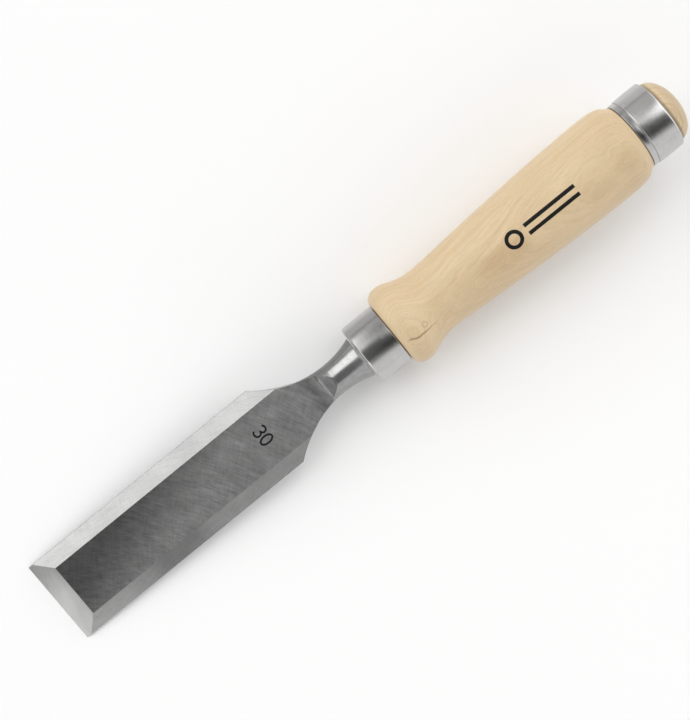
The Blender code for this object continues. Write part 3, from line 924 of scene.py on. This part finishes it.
def grip_outline():
    """The grip's (radius, x) pairs, front to rear, from the ferrule to the hoop."""
    start = FERRULE_RADIUS + HANDLE_PROUD
    quarter = CURVE_STEPS // 2
    outline = []
    for i in range(quarter):
        angle = math.radians(90.0) * i / quarter
        rise = (BEAD_RADIUS - start) * math.sin(angle)
        outline.append((start + rise, BEAD_PLACE * (1.0 - math.cos(angle))))
    bead = (BEAD_RADIUS, BEAD_PLACE)
    waist = (WAIST_RADIUS, WAIST_PLACE)
    belly = (BELLY_RADIUS, BELLY_X)
    end = (HOOP_RADIUS - HOOP_PROUD, HANDLE_SHOULDER_X)
    outline += swelling(bead, BEAD_EASE, waist, WAIST_EASE_FRONT, CURVE_STEPS)
    outline += swelling(waist, WAIST_EASE_REAR, belly, BELLY_EASE, CURVE_STEPS)[1:]
    outline += swelling(belly, BELLY_EASE_REAR, end, SHOULDER_EASE, CURVE_STEPS, SHOULDER_SLOPE)[1:]
    return outline


def dome_outline():
    """The striking end's (radius, x) pairs, from the axis out to the hoop's tenon."""
    outline = []
    for i in range(CURVE_STEPS + 1):
        angle = math.radians(90.0) * i / CURVE_STEPS
        across = REAR_TENON_RADIUS * math.sin(angle) ** (2.0 / DOME_SQUARENESS)
        along = DOME_HEIGHT * abs(math.cos(angle)) ** (2.0 / DOME_SQUARENESS)
        outline.append((across, DOME_X + along))
    return outline


def make_handle(material):
    outline = dome_outline()
    outline.append((REAR_TENON_RADIUS, HANDLE_SHOULDER_X))
    outline += reversed(grip_outline())
    outline += [(FRONT_TENON_RADIUS, 0.0), (FRONT_TENON_RADIUS, FRONT_TENON_X), (0.0, FRONT_TENON_X)]
    handle = piece_from("wood_handle", turned(outline, closed=False), [material], ["handle"])
    smooth_turned(handle)
    return handle


# ---------------------------------------------------------------- printed marks


# The width numerals: how tall and wide a digit is, the gap between two, the thickness of a
# stroke, and the corner where the first digit starts, as its x and y.
DIGIT_TALL = 5.1
DIGIT_WIDE = 3.2
DIGIT_GAP = 0.3
DIGIT_STROKE = 0.68
DIGIT_CORNER = (-56.2, 3.78)

# The plain mark on the grip: a ring and two bars beside it, about this line round the handle.
MARK_START = 45.6
MARK_SIDE = -0.5
RING_SIZE = 6.4
RING_STROKE = 1.3
BAR_START = 53.8
BAR_LENGTH = 20.5
BAR_STROKE = 1.35
BAR_SPREAD = 3.1

INK_HEIGHT = 0.015


def arc_path(middle, wide, tall, start, end, steps=24):
    """Points on an ellipse between two angles in degrees."""
    found = []
    for i in range(steps + 1):
        angle = math.radians(start + (end - start) * i / steps)
        found.append((middle[0] + wide * math.cos(angle), middle[1] + tall * math.sin(angle)))
    return found


def ink_strokes(name, strokes, width, lay):
    """Draw strokes of ink. Each is its points and whether it closes on itself.
    lay takes a point of the flat drawing and its height to the tool's frame."""
    curve = bpy.data.curves.new(name, "CURVE")
    curve.dimensions = "3D"
    curve.bevel_depth = width / 2.0
    curve.bevel_resolution = 3
    curve.use_fill_caps = True
    for points, closed in strokes:
        if closed:
            points = points[:-1]
        spline = curve.splines.new("POLY")
        spline.points.add(len(points) - 1)
        spline.use_cyclic_u = closed
        for place, point in zip(spline.points, points):
            place.co = (*point, 0.0, 1.0)
    drawn = bpy.data.objects.new(name, curve)
    bpy.context.scene.collection.objects.link(drawn)
    bpy.context.view_layer.update()
    mesh = bpy.data.meshes.new_from_object(drawn.evaluated_get(bpy.context.evaluated_depsgraph_get()))
    bpy.data.objects.remove(drawn)
    bm = bmesh.new()
    bm.from_mesh(mesh)
    bmesh.ops.remove_doubles(bm, verts=bm.verts, dist=MERGE)
    for vert in bm.verts:
        height = vert.co.z * INK_HEIGHT / (width / 2.0)
        vert.co = lay(vert.co.x, vert.co.y, height)
    ink = piece_from(name, bm, [dark_ink(name)])
    ink.data.shade_smooth()
    return ink


def make_numerals():
    """The blade's width in mm, read across the blade with its tops towards the handle."""
    wide = (DIGIT_WIDE - DIGIT_STROKE) / 2.0
    tall = (DIGIT_TALL - DIGIT_STROKE) / 2.0
    upper = 0.47 * tall
    lower = tall - upper
    three = arc_path((wide, 2.0 * tall - upper), 0.92 * wide, upper, 155.0, -90.0)
    three += arc_path((wide, lower), wide, lower, 90.0, -155.0)[1:]
    shift = DIGIT_WIDE + DIGIT_GAP
    nought = arc_path((wide + shift, tall), wide, tall, 0.0, 360.0, 48)

    def lay(across, up, height):
        x = DIGIT_CORNER[0] + up + DIGIT_STROKE / 2.0
        return x, DIGIT_CORNER[1] - across - DIGIT_STROKE / 2.0, top_z(x) + height

    return ink_strokes("width_numerals", [(three, False), (nought, True)], DIGIT_STROKE, lay)


def make_grip_mark():
    """A ring and two bars printed on the grip. They say nothing."""
    profile = [(x, radius) for radius, x in grip_outline()]

    def radius_at(x):
        after = next(i for i, point in enumerate(profile) if point[0] > x)
        (x0, r0), (x1, r1) = profile[after - 1], profile[after]
        return r0 + (r1 - r0) * (x - x0) / (x1 - x0)

    def lay(along, around, height):
        radius = radius_at(along)
        angle = around / radius
        radius += height
        return along, radius * math.sin(angle), radius * math.cos(angle)

    reach = (RING_SIZE - RING_STROKE) / 2.0
    ring = arc_path((MARK_START + RING_SIZE / 2.0, MARK_SIDE), reach, reach, 0.0, 360.0, 72)
    ink_strokes("grip_mark_ring", [(ring, True)], RING_STROKE, lay)
    steps = 24
    bars = []
    for side in (-0.5, 0.5):
        around = MARK_SIDE + side * BAR_SPREAD
        bars.append(([(BAR_START + BAR_LENGTH * i / steps, around) for i in range(steps + 1)], False))
    ink_strokes("grip_mark_bars", bars, BAR_STROKE, lay)


# ---------------------------------------------------------------- stage


# Brightness of the tent's parts: its walls right and left of the tool, the soft light on the
# left near the cutting edge, the dim opening overhead, the light above the handle, and the
# far ends of the tent.
TENT_RIGHT = 0.94
TENT_LEFT = 0.6
TENT_SIDE_LIGHT = 2.4
TENT_OPENING_FRONT = 0.28
TENT_OPENING_REAR = 0.03
TENT_REAR_LIGHT = 2.5
TENT_FRONT_END = 1.7
TENT_REAR_END = 1.45

# Where they are, in degrees about the tool's axis and as a lean along it: bands and ramps
# are (from, to), and a spot is its middle, its reach and the radii between which it fades.
TENT_WALLS_MEET = (10.0, 34.0)
SIDE_BAND_AROUND = ((14.0, 26.0), (66.0, 80.0))
SIDE_BAND_ALONG = ((-0.78, -0.66), (-0.09, -0.03))
OPENING_SLANT = 75.0
OPENING_SPOT = ((-9.0, -0.25), (34.0, 0.75), (0.35, 1.25))
OPENING_DIMS = (-0.08, 0.0)
REAR_SPOT = ((18.0, 0.5), (27.0, 0.35), (0.6, 1.25))
FRONT_END_RAMP = (-0.85, -0.79)
REAR_END_RAMP = (0.45, 0.7)

# The camera: the point it looks at in the tool's frame, its distance in m, its lens in mm,
# how far it leans to the tool's left and towards the striking end, and how steeply the
# tool lies in the frame.
CAMERA_AIM = (-17.45, 2.5, 0.0)
CAMERA_DISTANCE = 0.6536
CAMERA_LENS = 100.27
CAMERA_LEAN = math.radians(6.0)
CAMERA_PITCH = math.radians(0.26)
CAMERA_SLOPE = math.radians(39.2)


def spot(nodes, angle, along, middle, reach, soft):
    """1 inside an ellipse of directions and 0 outside it. middle and reach are pairs of an
    angle about the tool and a lean along it; soft is the pair of radii where it fades."""
    far = ((angle - middle[0]) / reach[0]) ** 2.0 + ((along - middle[1]) / reach[1]) ** 2.0
    return 1.0 - nodes.step(far, soft[0], soft[1])


def tent_light():
    """A white tent with a dim opening overhead, which gives the metal its dark stripes. A
    direction is told by its angle about the tool's axis, 0 straight up and positive towards
    the tool's left side, and by how far it leans along the axis."""
    world = bpy.data.worlds.new("light_tent")
    world.use_nodes = True
    bpy.context.scene.world = world
    nodes = Nodes(world.node_tree)
    along, across, up = nodes.parts_of(nodes.node("ShaderNodeTexCoord", output="Generated"))
    angle = across.math("ARCTAN2", up) * math.degrees(1.0)

    level = nodes.step(angle, *TENT_WALLS_MEET, TENT_RIGHT, TENT_LEFT)
    side = nodes.band(angle, *SIDE_BAND_AROUND) * nodes.band(along, *SIDE_BAND_ALONG)
    level = level + side * (TENT_SIDE_LIGHT - level)
    turn = angle + along.most(0.0) * OPENING_SLANT
    opening = spot(nodes, turn, along, *OPENING_SPOT)
    dim = nodes.step(along, *OPENING_DIMS, TENT_OPENING_FRONT, TENT_OPENING_REAR)
    level = level + opening * (dim - level)
    level = level + (1.0 - nodes.step(along, *FRONT_END_RAMP)) * (TENT_FRONT_END - level)
    rear = spot(nodes, angle, along, *REAR_SPOT)
    level = level + rear * (TENT_REAR_LIGHT - level)
    level = level + nodes.step(along, *REAR_END_RAMP) * (TENT_REAR_END - level)
    grey_level = nodes.node("ShaderNodeCombineColor", sockets={0: level, 1: level, 2: level})
    background = world.node_tree.nodes["Background"]
    connect(world.node_tree, background.inputs["Color"], grey_level)
    background.inputs["Strength"].default_value = 1.0


def make_floor():
    bm = bmesh.new()
    bmesh.ops.create_grid(bm, x_segments=8, y_segments=8, size=2.5)
    mesh = bpy.data.meshes.new("floor")
    bm.to_mesh(mesh)
    bm.free()
    mesh.materials.append(floor_paint())
    floor = bpy.data.objects.new("floor", mesh)
    bpy.context.scene.collection.objects.link(floor)


def make_camera():
    """Square to the tool's axis, a little to its left, with the tool lying up to the right."""
    aim = PLACE @ Vector(CAMERA_AIM)
    turn = PLACE.to_3x3().normalized()
    upright = math.cos(CAMERA_PITCH)
    sight = (math.sin(CAMERA_PITCH), upright * math.sin(CAMERA_LEAN), upright * math.cos(CAMERA_LEAN))
    towards = turn @ Vector(sight)
    level = turn @ Vector((1.0, 0.0, 0.0))
    along = (level - towards * level.dot(towards)).normalized()
    across = towards.cross(along)
    right = along * math.cos(CAMERA_SLOPE) - across * math.sin(CAMERA_SLOPE)
    up = along * math.sin(CAMERA_SLOPE) + across * math.cos(CAMERA_SLOPE)
    camera = bpy.data.cameras.new("camera")
    camera.lens = CAMERA_LENS
    camera.clip_start = 0.01
    obj = bpy.data.objects.new("camera", camera)
    bpy.context.scene.collection.objects.link(obj)
    turned_to = Matrix((right, up, towards)).transposed().to_4x4()
    obj.matrix_world = Matrix.Translation(aim + towards * CAMERA_DISTANCE) @ turned_to
    bpy.context.scene.camera = obj


make_camera()
tent_light()
make_floor()

nickel = nickel_plate()
make_blade()
make_ferrule(nickel)
make_hoop(nickel)
make_handle(pale_wood())
make_numerals()
make_grip_mark()

bpy.context.scene.view_settings.view_transform = "Standard"
